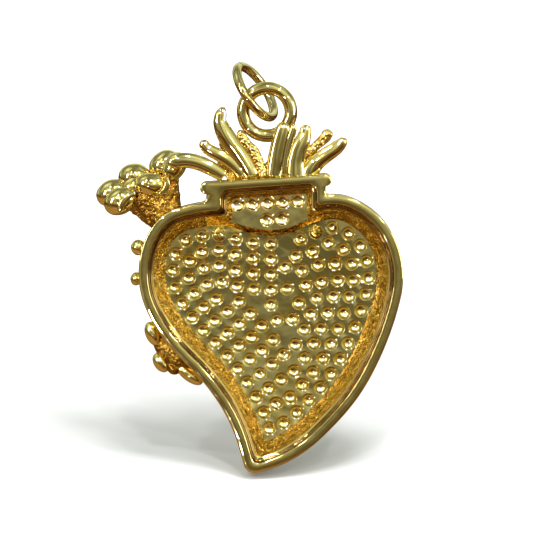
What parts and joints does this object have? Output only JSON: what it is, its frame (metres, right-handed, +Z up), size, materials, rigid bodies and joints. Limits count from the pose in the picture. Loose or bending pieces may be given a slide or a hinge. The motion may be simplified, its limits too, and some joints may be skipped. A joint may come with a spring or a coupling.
{
  "type": "religious heart pendant",
  "caption": "Open-backed gilt heart pendant with a flaming collar, blossom and beads on one side, pitted hollow back, hanging loop and loose jump ring",
  "frame": {"origin": "the middle of the cast hanging loop, where the pendant is held", "axes": "+Z up along the hanging pendant, +Y towards the domed front that faces out when worn, +X to the right of someone who looks at the open back"},
  "size_m": [0.0295, 0.0065, 0.039],
  "materials": {
    "gilt_brass": "pale gold plating, polished on the rim, flames and floor, fine cast grain on the walls",
    "gilt_wire": "pale gold plating on polished round wire"
  },
  "bodies": {
    "pendant": {"heart_casting": "gilt_brass"},
    "ring": {"jump_ring": "gilt_wire"}
  },
  "joints": [
    {"name": "ring_swing", "type": "hinge", "parent": "pendant", "child": "ring", "pos_m": [-0.00156, 0, 0.00156], "axis": [0.7071, 0, 0.7071], "range_deg": [-20, 175]}
  ]
}
